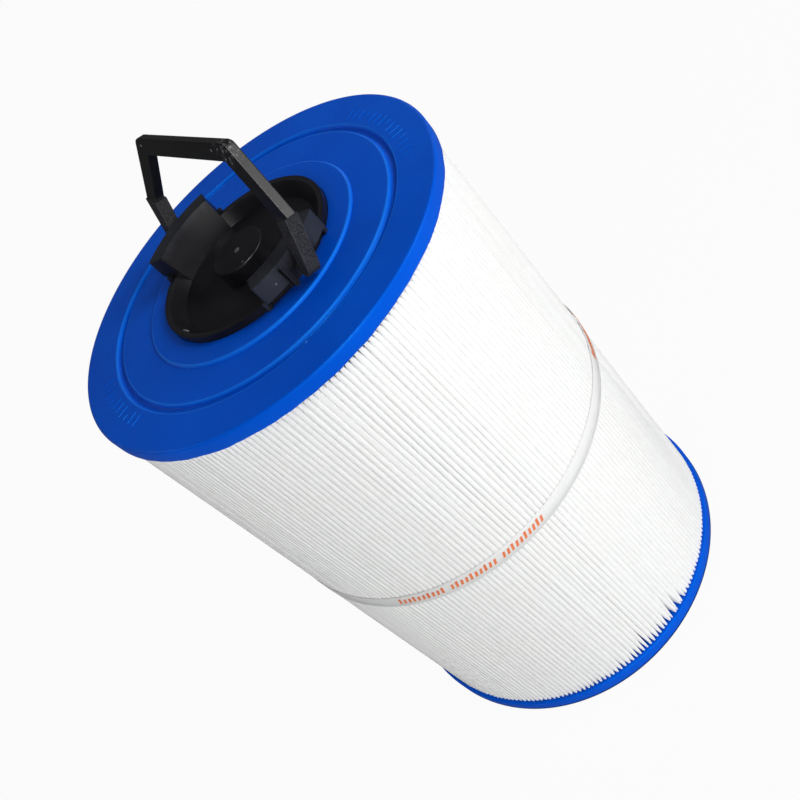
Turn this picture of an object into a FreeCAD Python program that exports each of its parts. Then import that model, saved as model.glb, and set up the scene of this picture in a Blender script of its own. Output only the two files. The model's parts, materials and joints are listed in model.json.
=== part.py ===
"""Pool and spa filter cartridge with a fold-down bail handle.

Lengths are in millimetres. +Z runs up the cartridge axis, and the origin is the centre of the bottom
face. The handle's pivot axis lies along X. Each sub-part is drawn about its own reference point and
put in place by its Placement, which follows the sizes in the sheet.
"""
import FreeCAD, Part
import math
import os

DOC = FreeCAD.newDocument("filter_cartridge")
SHEET = DOC.addObject("Spreadsheet::Sheet", "sizes")

DRIVING_SIZES = {
    # The whole cartridge: an 8.5 in body, 12.5 in long.
    "cap_radius": 107.95,
    "cartridge_length": 318.0,
    # Cast end caps, which hold the ends of the media and the core.
    "cap_height": 7.8,
    "top_plate": 4.0,
    "bottom_cap_height": 9.0,
    "bottom_plate": 5.0,
    "skirt_wall": 1.85,
    "rim_round": 1.4,
    "groove_inner_radius": 82.8,
    "groove_outer_radius": 86.8,
    "groove_depth": 2.0,
    "groove_round": 0.6,
    "terrace_radius": 62.4,
    "terrace_rise": 1.35,
    "terrace_round": 0.9,
    "outlet_radius": 38.1,
    "outlet_collar_wall": 3.4,
    "outlet_collar_height": 12.0,
    "outlet_round": 0.8,
    # Pleated sheet, its seam clip and the core it is wrapped round.
    "bond_gap": 0.05,
    "pleat_count": 228,
    "pleat_outer_radius": 105.8,
    "pleat_inner_radius": 54.5,
    "sheet_thickness": 0.5,
    "outer_fold_spread": 0.35,
    "inner_fold_spread": 0.40,
    "seam_azimuth": 164,
    "seam_clip_depth": 8.0,
    "seam_clip_wall": 0.6,
    "core_outer_radius": 54.2,
    "core_wall": 3.4,
    "core_hole_radius": 4.6,
    "core_hole_rows": 20,
    "core_hole_columns": 18,
    # Strap round the outside of the pleats.
    "band_center_height": 156.4,
    "band_width": 10.0,
    "band_thickness": 0.6,
    "band_lap_angle": 12,
    # Dished handle base, cast into the top cap. Heights are from the cap's outer face.
    "base_rim_radius": 49.2,
    "base_rim_width": 2.6,
    "base_rim_rise": 4.9,
    "base_floor_radius": 40.6,
    "base_floor_drop": 1.2,
    "base_floor_thickness": 2.5,
    "base_boss_radius": 14.7,
    "base_boss_rise": 8.2,
    "base_boss_taper": 0.5,
    "base_boss_wall": 2.5,
    "base_boss_round": 1.0,
    "base_key_radius": 53.0,
    "base_key_thickness": 1.8,
    # Ears on the handle base that hold the pivots.
    "ear_top_radius": 45.2,
    "ear_outer_radius": 54.6,
    "ear_half_angle": 25.0,
    "ear_rise": 17.3,
    "ear_lip_rise": 6.5,
    "ear_foot_rise": 1.5,
    "ear_skin": 1.8,
    "ear_roof": 2.5,
    "channel_half_angle": 6.3,
    "channel_top_rise": 11.0,
    "channel_rib_angle": 2.6,
    "channel_rib_radius": 53.6,
    "channel_slot_angle": 1.4,
    "channel_floor_radius": 50.5,
    "ear_foot_angle": 2.2,
    "ear_foot_radius": 51.5,
    "ear_foot_height": 6.5,
    "ear_end_round": 1.2,
    # Bail handle and its pivots. The handle is drawn upright about its pivot axis.
    "pivot_rise": 7.0,
    "handle_lean": 18.9,
    "handle_top_height": 59.9,
    "handle_top_half_span": 42.2,
    "handle_top_width": 8.9,
    "handle_inner_top_half_span": 36.4,
    "handle_elbow_height": 26.1,
    "handle_elbow_half_span": 65.8,
    "handle_inner_elbow_height": 23.6,
    "handle_inner_elbow_half_span": 56.6,
    "handle_toe_half_span": 64.0,
    "handle_inner_toe_half_span": 57.2,
    "handle_elbow_step": 0.4,
    "handle_bar_depth": 5.3,
    "handle_leg_depth": 7.3,
    "handle_corner_round": 5.0,
    "handle_edge_round": 0.9,
    "handle_leg_edge_round": 0.6,
    "trunnion_radius": 2.3,
    "trunnion_tip_half_span": 47.4,
    "pivot_hole_floor_radius": 47.2,
    "pivot_clearance": 0.05,
}

# How far joined shapes run into each other and cuts run past the surface, in mm and in degrees.
OVERLAP = 1
WEB_LAP_ANGLE = 0.5


def fill_sheet():
    """Write each driving size with its name as the cell's alias."""
    for row, (name, value) in enumerate(DRIVING_SIZES.items(), start=1):
        SHEET.set(f"A{row}", name)
        SHEET.set(f"B{row}", str(value))
        SHEET.setAlias(f"B{row}", name)
    DOC.recompute()


def size(name):
    """Read one size back from the sheet as a number."""
    return float(getattr(SHEET, name))


def bind(obj, prop, formula):
    """Tie a property to the sheet. Sizes in the formula are written in braces."""
    for name in sorted(DRIVING_SIZES, key=len, reverse=True):
        formula = formula.replace("{" + name + "}", f"sizes.{name}")
    obj.setExpression(prop, formula)


def new_body(name, height_formula="0"):
    """Start a sub-part whose own zero level stands at the given height."""
    body = DOC.addObject("PartDesign::Body", name)
    body.Label = name
    bind(body, ".Placement.Base.z", height_formula)
    return body


def origin_feature(body, role):
    return next(item for item in body.Origin.OriginFeatures if item.Role == role)


def line(start, end):
    return Part.LineSegment(FreeCAD.Vector(*start, 0), FreeCAD.Vector(*end, 0))


def arc(start, middle, end):
    points = [FreeCAD.Vector(*point, 0) for point in (start, middle, end)]
    return Part.Arc(*points)


def polygon(points):
    """Closed run of straight lines through the points."""
    return [line(point, points[(index + 1) % len(points)]) for index, point in enumerate(points)]


def polar(radius, degrees):
    angle = math.radians(degrees)
    return radius * math.cos(angle), radius * math.sin(angle)


def sector(inner_radius, outer_radius, start, end):
    """Outline of a ring segment between two angles in degrees."""
    middle = (start + end) / 2
    return [
        arc(polar(outer_radius, start), polar(outer_radius, middle), polar(outer_radius, end)),
        line(polar(outer_radius, end), polar(inner_radius, end)),
        arc(polar(inner_radius, end), polar(inner_radius, middle), polar(inner_radius, start)),
        line(polar(inner_radius, start), polar(outer_radius, start)),
    ]


def circle(radius, center=(0, 0)):
    return Part.Circle(FreeCAD.Vector(*center, 0), FreeCAD.Vector(0, 0, 1), radius)


def sketch(body, name, role, geometry, offset_formula=None):
    """Sketch on one of the body's own origin planes, moved along its normal if asked."""
    item = body.newObject("Sketcher::SketchObject", name)
    item.AttachmentSupport = [(origin_feature(body, role), "")]
    item.MapMode = "FlatFace"
    item.addGeometry(geometry, False)
    if offset_formula:
        bind(item, ".AttachmentOffset.Base.z", offset_formula)
    return item


def revolve(body, name, profile):
    """Turn a profile drawn as radius and height round the body's Z axis."""
    feature = body.newObject("PartDesign::Revolution", name)
    feature.Profile = profile
    feature.ReferenceAxis = (profile, ["V_Axis"])
    feature.Angle = 360
    return feature


def pad(body, name, profile, length_formula, midplane=False):
    feature = body.newObject("PartDesign::Pad", name)
    feature.Profile = profile
    feature.Midplane = midplane
    bind(feature, "Length", length_formula)
    return feature


def pocket(body, name, profile, length_formula, along_normal=True, midplane=False):
    """Cut along the sketch's own normal, against it, or to both sides of it."""
    feature = body.newObject("PartDesign::Pocket", name)
    feature.Profile = profile
    feature.Reversed = along_normal
    feature.Midplane = midplane
    bind(feature, "Length", length_formula)
    return feature


def repeat_round(body, name, originals, count_formula):
    """Repeat features evenly round the body's Z axis."""
    feature = body.newObject("PartDesign::PolarPattern", name)
    feature.Originals = originals
    feature.Axis = (origin_feature(body, "Z_Axis"), [""])
    feature.Angle = 360
    bind(feature, "Occurrences", count_formula)
    body.Tip = feature
    return feature


def round_edges(body, name, base, wanted, radius_formula):
    """Fillet each edge of the base feature that the wanted test picks out."""
    DOC.recompute()
    names = [f"Edge{number}" for number, edge in enumerate(base.Shape.Edges, start=1) if wanted(edge)]
    feature = body.newObject("PartDesign::Fillet", name)
    feature.Base = (base, names)
    bind(feature, "Radius", radius_formula)
    return feature


def is_ring(edge, radius, height):
    """True for a full circle of this radius at this height."""
    if not isinstance(edge.Curve, Part.Circle):
        return False
    return abs(edge.Curve.Radius - radius) < 0.01 and abs(edge.Curve.Center.z - height) < 0.01


def skirt_radius():
    return size("cap_radius") - size("skirt_wall")


def make_top_end_cap():
    """Cast cap with a raised terrace, a round groove and an undercut that grips the handle base."""
    body = new_body("top_end_cap", "{cartridge_length}")
    gap = size("bond_gap")
    opening = size("base_rim_radius") + gap
    terrace_top = size("terrace_rise")
    groove_floor = -size("groove_depth")
    key_top = gap - size("base_floor_drop")
    key_bottom = key_top - size("base_key_thickness") - 2 * gap
    key_radius = size("base_key_radius") + gap
    profile = sketch(body, "cap_profile", "XZ_Plane", polygon([
        (opening, terrace_top),
        (size("terrace_radius"), terrace_top),
        (size("terrace_radius"), 0),
        (size("groove_inner_radius"), 0),
        (size("groove_inner_radius"), groove_floor),
        (size("groove_outer_radius"), groove_floor),
        (size("groove_outer_radius"), 0),
        (size("cap_radius"), 0),
        (size("cap_radius"), -size("cap_height")),
        (skirt_radius(), -size("cap_height")),
        (skirt_radius(), -size("top_plate")),
        (opening, -size("top_plate")),
        (opening, key_bottom),
        (key_radius, key_bottom),
        (key_radius, key_top),
        (opening, key_top),
    ]))
    casting = revolve(body, "cap_casting", profile)
    rim = round_edges(body, "rim_rounding", casting,
                      lambda edge: is_ring(edge, size("cap_radius"), 0), "{rim_round}")
    terrace = round_edges(body, "terrace_rounding", rim,
                          lambda edge: is_ring(edge, size("terrace_radius"), terrace_top),
                          "{terrace_round}")
    groove_radii = (size("groove_inner_radius"), size("groove_outer_radius"))
    round_edges(body, "groove_rounding", terrace,
                lambda edge: any(is_ring(edge, radius, 0) for radius in groove_radii),
                "{groove_round}")


def make_bottom_end_cap():
    """Cast cap with the outlet opening and a collar that grips the standpipe."""
    body = new_body("bottom_end_cap")
    collar_radius = size("outlet_radius") + size("outlet_collar_wall")
    profile = sketch(body, "cap_profile", "XZ_Plane", polygon([
        (size("outlet_radius"), 0),
        (size("cap_radius"), 0),
        (size("cap_radius"), size("bottom_cap_height")),
        (skirt_radius(), size("bottom_cap_height")),
        (skirt_radius(), size("bottom_plate")),
        (collar_radius, size("bottom_plate")),
        (collar_radius, size("outlet_collar_height")),
        (size("outlet_radius"), size("outlet_collar_height")),
    ]))
    casting = revolve(body, "cap_casting", profile)
    rim = round_edges(body, "rim_rounding", casting,
                      lambda edge: is_ring(edge, size("cap_radius"), 0), "{rim_round}")
    round_edges(body, "collar_rounding", rim,
                lambda edge: is_ring(edge, collar_radius, size("outlet_collar_height")),
                "{outlet_round}")


def media_height():
    """Length of the media and core between the two cap plates."""
    return size("cartridge_length") - size("top_plate") - size("bottom_plate") - 2 * size("bond_gap")


def turned(point, degrees):
    """Turn a (sideways, radial) point of an upright fin to its place round the axis."""
    sideways, radial = point
    angle = math.radians(degrees)
    return FreeCAD.Vector(radial * math.cos(angle) - sideways * math.sin(angle),
                          radial * math.sin(angle) + sideways * math.cos(angle), 0)


def fin_side(side, surface, base_radius, tip_radius):
    """Foot and tip of one face of a fin: side is -1 or 1, surface is 1 outside the fold, -1 inside."""
    half_sheet = size("sheet_thickness") / 2
    foot = (side * (size("inner_fold_spread") + surface * half_sheet), base_radius)
    tip = (side * (size("outer_fold_spread") + surface * half_sheet), tip_radius)
    return foot, tip


def pleat_run(surface):
    """Edges of one surface of the sheet, from the seam right round to the seam again."""
    count = int(size("pleat_count"))
    pitch = 360 / count
    half_sheet = size("sheet_thickness") / 2
    fold_top = size("pleat_outer_radius") - (1 - surface) * half_sheet
    fold_bottom = size("pleat_inner_radius") + (1 + surface) * half_sheet
    tip_radius = size("pleat_outer_radius") - size("outer_fold_spread") - half_sheet
    base_radius = size("pleat_inner_radius") + size("inner_fold_spread") + half_sheet
    seam_radius = size("pleat_outer_radius") - 2 * size("seam_clip_wall")
    edges = []
    for number in range(count + 1):
        azimuth = size("seam_azimuth") + number * pitch
        left_foot, left_tip = fin_side(-1, surface, base_radius, tip_radius)
        right_foot, right_tip = fin_side(1, surface, base_radius, tip_radius)
        if number == 0:
            start = turned((right_tip[0], seam_radius), azimuth)
        elif number == count:
            end = turned((left_tip[0], seam_radius), azimuth)
            edges.append(Part.makeLine(turned(left_foot, azimuth), end))
            break
        else:
            start = turned(right_tip, azimuth)
            edges.append(Part.makeLine(turned(left_foot, azimuth), turned(left_tip, azimuth)))
            fold = Part.Arc(turned(left_tip, azimuth), turned((0, fold_top), azimuth), start)
            edges.append(fold.toShape())
        edges.append(Part.makeLine(start, turned(right_foot, azimuth)))
        valley = turned((0, fold_bottom), azimuth + pitch / 2)
        next_foot = turned(left_foot, azimuth + pitch)
        edges.append(Part.Arc(turned(right_foot, azimuth), valley, next_foot).toShape())
    return edges


def make_pleated_media():
    """Pleated sheet closed into a ring, with its two ends side by side at the seam."""
    outside = pleat_run(1)
    inside = pleat_run(-1)
    ends = [
        Part.makeLine(outside[0].firstVertex().Point, inside[0].firstVertex().Point),
        Part.makeLine(outside[-1].lastVertex().Point, inside[-1].lastVertex().Point),
    ]
    wires = Part.Wire(Part.__sortEdges__(outside + inside + ends))
    sheet = Part.Face(wires).extrude(FreeCAD.Vector(0, 0, media_height()))
    media = DOC.addObject("Part::Feature", "pleated_media")
    media.Label = "pleated_media"
    media.Shape = sheet
    bind(media, ".Placement.Base.z", "{bottom_plate} + {bond_gap}")


def make_media_seam_clip():
    """Channel pressed over the two free ends of the pleated sheet."""
    body = new_body("media_seam_clip", "{bottom_plate} + {bond_gap}")
    bind(body, ".Placement.Rotation.Angle", "{seam_azimuth}")
    inner_half = size("outer_fold_spread") + size("sheet_thickness") / 2 + 2 * size("bond_gap")
    outer_half = inner_half + size("seam_clip_wall")
    outside = size("pleat_outer_radius")
    inside = outside - size("seam_clip_wall")
    mouth = outside - size("seam_clip_depth")
    profile = sketch(body, "clip_profile", "XY_Plane", polygon([
        (mouth, inner_half), (inside, inner_half), (inside, -inner_half), (mouth, -inner_half),
        (mouth, -outer_half), (outside, -outer_half), (outside, outer_half), (mouth, outer_half),
    ]))
    pad(body, "clip_channel", profile,
        "{cartridge_length} - {top_plate} - {bottom_plate} - 2 * {bond_gap}")


def make_core_tube():
    """Perforated tube that holds the pleats apart from the middle."""
    body = new_body("core_tube", "{bottom_plate} + {bond_gap}")
    inner_radius = size("core_outer_radius") - size("core_wall")
    rings = [circle(size("core_outer_radius")), circle(inner_radius)]
    profile = sketch(body, "tube_profile", "XY_Plane", rings)
    pad(body, "tube_wall", profile,
        "{cartridge_length} - {top_plate} - {bottom_plate} - 2 * {bond_gap}")
    rows = int(size("core_hole_rows"))
    spacing = media_height() / rows
    holes = [circle(size("core_hole_radius"), (0, (row + 0.5) * spacing)) for row in range(rows)]
    column = pocket(body, "hole_column", sketch(body, "hole_circles", "YZ_Plane", holes),
                    f"{{core_outer_radius}} + {OVERLAP}")
    repeat_round(body, "hole_columns", [column], "{core_hole_columns}")


def make_retaining_band():
    """Thin strap round the pleats, with its welded lap behind."""
    body = new_body("retaining_band", "{band_center_height} - {band_width} / 2")
    inner_radius = size("pleat_outer_radius") + size("bond_gap")
    outer_radius = inner_radius + size("band_thickness")
    loop = sketch(body, "strap_outline", "XY_Plane", [circle(outer_radius), circle(inner_radius)])
    pad(body, "strap", loop, "{band_width}")
    half_lap = size("band_lap_angle") / 2
    lap_outline = sector(outer_radius - size("band_thickness") / 2, outer_radius + size("band_thickness"),
                         size("seam_azimuth") - half_lap, size("seam_azimuth") + half_lap)
    pad(body, "lap", sketch(body, "lap_outline", "XY_Plane", lap_outline), "{band_width}")


def base_dish_profile():
    """Half section of the dished base, from the boss out to the key that the cap is cast round."""
    floor = -size("base_floor_drop")
    underside = floor - size("base_floor_thickness")
    boss_radius = size("base_boss_radius")
    boss_inside = boss_radius - size("base_boss_wall")
    boss_roof = size("base_boss_rise") - size("base_boss_wall")
    rim_radius = size("base_rim_radius")
    key_bottom = floor - size("base_key_thickness")
    return polygon([
        (0, size("base_boss_rise")),
        (boss_radius, size("base_boss_rise")),
        (boss_radius + size("base_boss_taper"), floor),
        (size("base_floor_radius"), floor),
        (rim_radius - size("base_rim_width"), size("base_rim_rise")),
        (rim_radius, size("base_rim_rise")),
        (rim_radius, floor),
        (size("base_key_radius"), floor),
        (size("base_key_radius"), key_bottom),
        (rim_radius, key_bottom),
        (rim_radius, underside),
        (boss_inside + size("base_boss_taper"), underside),
        (boss_inside, boss_roof),
        (0, boss_roof),
    ])


def ear_wall_profile():
    """Section of an ear's inner wall, which carries the slope of the dish on up to the ear's top."""
    floor = -size("base_floor_drop")
    rim = size("base_rim_radius")
    return polygon([
        (size("base_floor_radius"), floor),
        (size("ear_top_radius"), size("ear_rise")),
        (rim, size("ear_rise")),
        (rim, floor),
    ])


def add_ear_pad(body, name, outline, bottom, top):
    """Upright block of an ear between two of the heights in the sheet."""
    profile = sketch(body, name + "_outline", "XY_Plane", outline, bottom)
    return pad(body, name, profile, f"{top} - {bottom}")


def add_ear_pocket(body, name, outline, top):
    """Cut up into an ear from its foot."""
    profile = sketch(body, name + "_outline", "XY_Plane", outline, "{ear_foot_rise}")
    return pocket(body, name, profile, top + " - {ear_foot_rise}")


def add_ear_pieces(body):
    """Draw one ear about the X axis and return the features that make it."""
    outer = size("ear_outer_radius")
    half = size("ear_half_angle")
    rim = size("base_rim_radius")
    root = rim - OVERLAP
    rib_start = size("channel_half_angle")
    rib_end = rib_start + size("channel_rib_angle")
    block_start = rib_end + size("channel_slot_angle")
    channel_floor = size("channel_floor_radius")
    skin = size("ear_skin")
    skin_angle = math.degrees(skin / outer)
    foot_end = half + size("ear_foot_angle")
    beyond = outer + OVERLAP
    roof_underside = "{ear_rise} - {ear_roof}"
    wall = body.newObject("PartDesign::Revolution", "ear_wall")
    wall.Profile = sketch(body, "ear_wall_profile", "XZ_Plane", ear_wall_profile())
    wall.ReferenceAxis = (wall.Profile[0], ["V_Axis"])
    wall.Midplane = True
    bind(wall, "Angle", "2 * {ear_half_angle}")
    web_half = block_start + WEB_LAP_ANGLE
    web = sector(root, channel_floor, -web_half, web_half)
    hood = sector(root, outer, -half, half)
    channel = sector(channel_floor, beyond, -rib_start, rib_start)
    pieces = [
        wall,
        add_ear_pad(body, "hood", hood, "{ear_lip_rise}", "{ear_rise}"),
        add_ear_pocket(body, "channel", channel, "{channel_top_rise}"),
    ]
    for name, side in (("left", -1), ("right", 1)):
        hollow = sector(rim, outer - skin, side * (block_start + skin_angle), side * (half - skin_angle))
        slot = sector(rim, beyond, side * rib_end, side * block_start)
        rib = sector(root, size("channel_rib_radius"), side * rib_start, side * rib_end)
        foot = sector(root, size("ear_foot_radius"), side * (half - skin_angle / 2), side * foot_end)
        pieces += [
            add_ear_pocket(body, name + "_hollow", hollow, roof_underside),
            add_ear_pocket(body, name + "_slot", slot, roof_underside),
            add_ear_pad(body, name + "_rib", rib, "{ear_foot_rise}", "{ear_rise}"),
            add_ear_pad(body, name + "_foot", foot, "{ear_foot_rise}", "{ear_foot_height}"),
        ]
    pieces.append(add_ear_pad(body, "web", web, "{ear_foot_rise}", "{ear_rise}"))
    hole = circle(size("trunnion_radius") + size("pivot_clearance"), (0, size("pivot_rise")))
    hole_outline = sketch(body, "pivot_hole_outline", "YZ_Plane", [hole],
                          f"{{channel_floor_radius}} + {OVERLAP}")
    pieces.append(pocket(body, "pivot_hole", hole_outline,
                         f"{{channel_floor_radius}} + {OVERLAP} - {{pivot_hole_floor_radius}}",
                         along_normal=False))
    return pieces


def is_ear_end(edge):
    """True for an upright outer edge at the end of an ear."""
    ends = [vertex.Point for vertex in edge.Vertexes]
    if len(ends) < 2 or edge.BoundBox.ZLength < size("ear_roof"):
        return False
    upright = math.hypot(ends[0].x - ends[1].x, ends[0].y - ends[1].y) < 0.01
    at_skin = abs(math.hypot(ends[0].x, ends[0].y) - size("ear_outer_radius")) < 0.01
    across = abs(math.degrees(math.atan2(ends[0].y, abs(ends[0].x))))
    return upright and at_skin and abs(across - size("ear_half_angle")) < 0.1


def make_handle_base():
    """Hard dished insert with a middle boss and two ears that carry the handle."""
    body = new_body("handle_base", "{cartridge_length}")
    dish = revolve(body, "dish", sketch(body, "dish_profile", "XZ_Plane", base_dish_profile()))
    boss_top = size("base_boss_rise")
    round_edges(body, "boss_rounding", dish,
                lambda edge: is_ring(edge, size("base_boss_radius"), boss_top), "{base_boss_round}")
    ears = repeat_round(body, "ears", add_ear_pieces(body), "2")
    body.Tip = round_edges(body, "ear_end_rounding", ears, is_ear_end, "{ear_end_round}")


def outer_elbow():
    return size("handle_elbow_half_span"), size("handle_elbow_height")


def inner_elbow():
    return size("handle_inner_elbow_half_span"), size("handle_inner_elbow_height")


def mirrored(points):
    """The same points on the other side of the middle, in reverse order."""
    return [(-across, up) for across, up in reversed(points)]


def bail_outline():
    """Top bar and upper legs, which end at the elbows."""
    top = size("handle_top_height")
    under_top = top - size("handle_top_width")
    outer = [(size("handle_top_half_span"), top), outer_elbow()]
    inner = [inner_elbow(), (size("handle_inner_top_half_span"), under_top)]
    return polygon(outer + inner + mirrored(inner) + mirrored(outer))


def leg_outline():
    """Lower right leg, set back from the elbow's outer corner and round at the toe."""
    elbow = outer_elbow()
    inside = inner_elbow()
    share = size("handle_elbow_step") / (elbow[0] - inside[0])
    shoulder = (elbow[0] + share * (inside[0] - elbow[0]), elbow[1] + share * (inside[1] - elbow[1]))
    toe = (size("handle_toe_half_span"), 0)
    inner_toe = (size("handle_inner_toe_half_span"), 0)
    lowest = ((toe[0] + inner_toe[0]) / 2, -(toe[0] - inner_toe[0]) / 2)
    return [line(inside, shoulder), line(shoulder, toe), arc(toe, lowest, inner_toe),
            line(inner_toe, inside)]


def is_top_corner(edge):
    """True for a straight edge through the bar at an outer top corner."""
    ends = [vertex.Point for vertex in edge.Vertexes]
    if len(ends) < 2:
        return False
    across = abs(ends[0].y - ends[1].y)
    near_top = min(ends[0].z, ends[1].z) > size("handle_top_height") - 0.01
    return across > size("handle_bar_depth") * 0.9 and near_top


def is_face_edge(edge, depth):
    """True for an edge that lies in one of the two flat faces this depth apart."""
    middle = edge.valueAt((edge.FirstParameter + edge.LastParameter) / 2)
    start = edge.valueAt(edge.FirstParameter)
    return all(abs(abs(point.y) - depth / 2) < 0.01 for point in (start, middle))


def is_bail_edge(edge):
    """True for a long edge of the bail's faces, but not for one at the elbow joints."""
    lowest = edge.BoundBox.ZMax < size("handle_elbow_height") + 0.01
    return is_face_edge(edge, size("handle_bar_depth")) and not lowest


def make_handle():
    """Bail handle, deeper below its elbows, with two trunnions that snap into the ears."""
    body = new_body("handle", "{cartridge_length} + {pivot_rise}")
    body.Placement = FreeCAD.Placement(body.Placement.Base, FreeCAD.Rotation(FreeCAD.Vector(1, 0, 0), 1))
    bind(body, ".Placement.Rotation.Angle", "-1 * {handle_lean}")
    bail = pad(body, "bail", sketch(body, "bail_outline", "XZ_Plane", bail_outline()),
               "{handle_bar_depth}", midplane=True)
    corners = round_edges(body, "corner_rounding", bail, is_top_corner, "{handle_corner_round}")
    round_edges(body, "edge_rounding", corners, is_bail_edge, "{handle_edge_round}")
    leg = pad(body, "leg", sketch(body, "leg_outline", "XZ_Plane", leg_outline()),
              "{handle_leg_depth}", midplane=True)
    tip = sketch(body, "trunnion_outline", "YZ_Plane", [circle(size("trunnion_radius"))],
                 "{trunnion_tip_half_span}")
    trunnion = pad(body, "trunnion", tip,
                   f"{{handle_inner_toe_half_span}} + {OVERLAP} - {{trunnion_tip_half_span}}")
    legs = repeat_round(body, "both_legs", [leg, trunnion], "2")
    body.Tip = round_edges(body, "leg_edge_rounding", legs,
                           lambda edge: is_face_edge(edge, size("handle_leg_depth")),
                           "{handle_leg_edge_round}")


def solid_of(item):
    """The single checked solid of a sub-part."""
    if item.Shape.isNull() or not item.Shape.isValid() or len(item.Shape.Solids) != 1:
        raise RuntimeError(f"{item.Label} is not one valid solid")
    return item.Shape


def check_document():
    """Stop if any object in the document failed to build."""
    for item in DOC.Objects:
        if "Invalid" in item.State or "Error" in item.State:
            raise RuntimeError(f"{item.Label} did not build: {item.State}")


def export_parts():
    """Write one STEP file for each sub-part."""
    os.makedirs("parts", exist_ok=True)
    for item in DOC.Objects:
        is_loose_solid = item.TypeId == "Part::Feature"
        if item.TypeId == "PartDesign::Body" or is_loose_solid:
            shape = solid_of(item)
            shape.exportStep(f"parts/{item.Label}.step")
            box = shape.BoundBox
            print(f"{item.Label}: {shape.Volume:.0f} mm3, {len(shape.Faces)} faces, "
                  f"x {box.XMin:.2f} {box.XMax:.2f}, y {box.YMin:.2f} {box.YMax:.2f}, "
                  f"z {box.ZMin:.2f} {box.ZMax:.2f}")


fill_sheet()
make_top_end_cap()
make_bottom_end_cap()
make_pleated_media()
make_media_seam_clip()
make_core_tube()
make_retaining_band()
make_handle_base()
make_handle()
DOC.recompute()
check_document()
export_parts()
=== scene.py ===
"""Looks of the filter cartridge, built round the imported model."""
import json
import math

import bpy
from mathutils import Matrix, Vector, noise


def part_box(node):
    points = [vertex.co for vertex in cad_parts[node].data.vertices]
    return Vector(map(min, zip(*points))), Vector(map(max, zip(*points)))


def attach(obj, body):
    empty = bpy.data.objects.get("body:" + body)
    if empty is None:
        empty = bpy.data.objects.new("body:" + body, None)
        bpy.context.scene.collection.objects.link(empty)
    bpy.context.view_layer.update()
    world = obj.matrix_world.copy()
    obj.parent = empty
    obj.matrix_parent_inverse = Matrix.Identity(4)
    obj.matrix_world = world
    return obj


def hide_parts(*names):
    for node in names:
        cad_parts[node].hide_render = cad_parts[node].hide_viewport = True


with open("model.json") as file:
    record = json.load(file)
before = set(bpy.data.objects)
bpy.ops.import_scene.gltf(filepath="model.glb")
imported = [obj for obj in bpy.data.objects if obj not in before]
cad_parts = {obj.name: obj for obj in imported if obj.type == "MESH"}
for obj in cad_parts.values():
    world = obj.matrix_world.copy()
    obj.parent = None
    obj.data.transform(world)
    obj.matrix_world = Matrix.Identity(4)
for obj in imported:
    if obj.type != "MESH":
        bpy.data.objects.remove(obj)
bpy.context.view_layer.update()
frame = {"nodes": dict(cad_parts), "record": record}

MM = 0.001
TAU = 2 * math.pi
BODY = "cartridge"

# Places read from the frame.
BOTTOM_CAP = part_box("bottom_end_cap")
TOP_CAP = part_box("top_end_cap")
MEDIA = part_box("pleated_media")
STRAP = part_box("retaining_band")
PIVOT = Vector(frame["record"]["behaviour"]["joints"][0]["pos_m"])
CAP_RADIUS = TOP_CAP[1].x
MEDIA_BOTTOM = MEDIA[0].z
MEDIA_TOP = MEDIA[1].z
PLEAT_TIP = MEDIA[1].x
STRAP_WIDTH = STRAP[1].z - STRAP[0].z
STRAP_MIDDLE = (STRAP[1].z + STRAP[0].z) / 2

# End caps: sizes of the design that the frame's boxes don't give.
TERRACE_RISE = 1.35 * MM
CAP_FACE = TOP_CAP[1].z - TERRACE_RISE
CAP_UNDERSIDE = CAP_FACE - 7.8 * MM
CAP_SEGMENTS = 720
HANDLE_OPENING = 49.25 * MM
TERRACE_RADIUS = 62.4 * MM
GROOVE_INNER = 82.8 * MM
GROOVE_OUTER = 86.8 * MM
GROOVE_DEPTH = 2 * MM
PLATE_STEP = 4 * MM
CORE_EDGE = 55 * MM
WAVY_RADIUS = 60 * MM
RESIN_LEVEL = 8.2 * MM
OUTLET_RADIUS = 38.1 * MM
OUTLET_COLLAR = OUTLET_RADIUS + 3.4 * MM
BOTTOM_PLATE = 5 * MM

# Handle and its base.
HANDLE_LEAN = math.radians(18.9)
HANDLE_DEPTH = 5.3 * MM
GRAINED_REACH = 26 * MM
BOSS_TOP = CAP_FACE + 8.2 * MM
EAR_RADIUS = 54.6 * MM

# Pleats: the same sheet as the design, with folds that belly out between the caps.
PLEATS = 228
PITCH = TAU / PLEATS
TIP_PITCH = PLEAT_TIP * PITCH
SEAM_AZIMUTH = math.radians(164)
SHEET = 0.5 * MM
PLEAT_FOOT = 54.5 * MM
INNER_HALF = 0.65 * MM
FOOT_BASE = PLEAT_FOOT + INNER_HALF
NARROW_HALF = 0.55 * MM
BELLY_RADIUS = PLEAT_TIP - 7 * MM
SEAM_SHORTFALL = 1 * MM

# Strap and its printed bars.
STRAP_FILM = 0.12 * MM
STRAP_CROWN = 1.2 * STRAP_FILM
INK_FROM = 0.12 * MM
INK_TO = 0.20 * MM

# The camera of the photograph, about the middle of the top cap.
CAMERA_LENS = 46.59
SENSOR_WIDTH = 36
CAMERA_DISTANCE = 4.73 * CAP_RADIUS
CAMERA_AZIMUTH = math.radians(-16)
CAMERA_ELEVATION = math.radians(27.66)
CAMERA_ROLL = math.radians(-47.04)
CAMERA_PAN = math.radians(8.42)
CAMERA_TILT = math.radians(-7.51)


# ---------------------------------------------------------------- mesh helpers

def mesh_object(name, points, faces, smooth=True):
    """New object of this name in the scene, made from its points and faces."""
    mesh = bpy.data.meshes.new(name)
    mesh.from_pydata([tuple(p) for p in points], [], faces)
    mesh.validate()
    mesh.update()
    piece = bpy.data.objects.new(name, mesh)
    bpy.context.collection.objects.link(piece)
    if smooth:
        mesh.polygons.foreach_set("use_smooth", [True] * len(mesh.polygons))
    return piece


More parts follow.
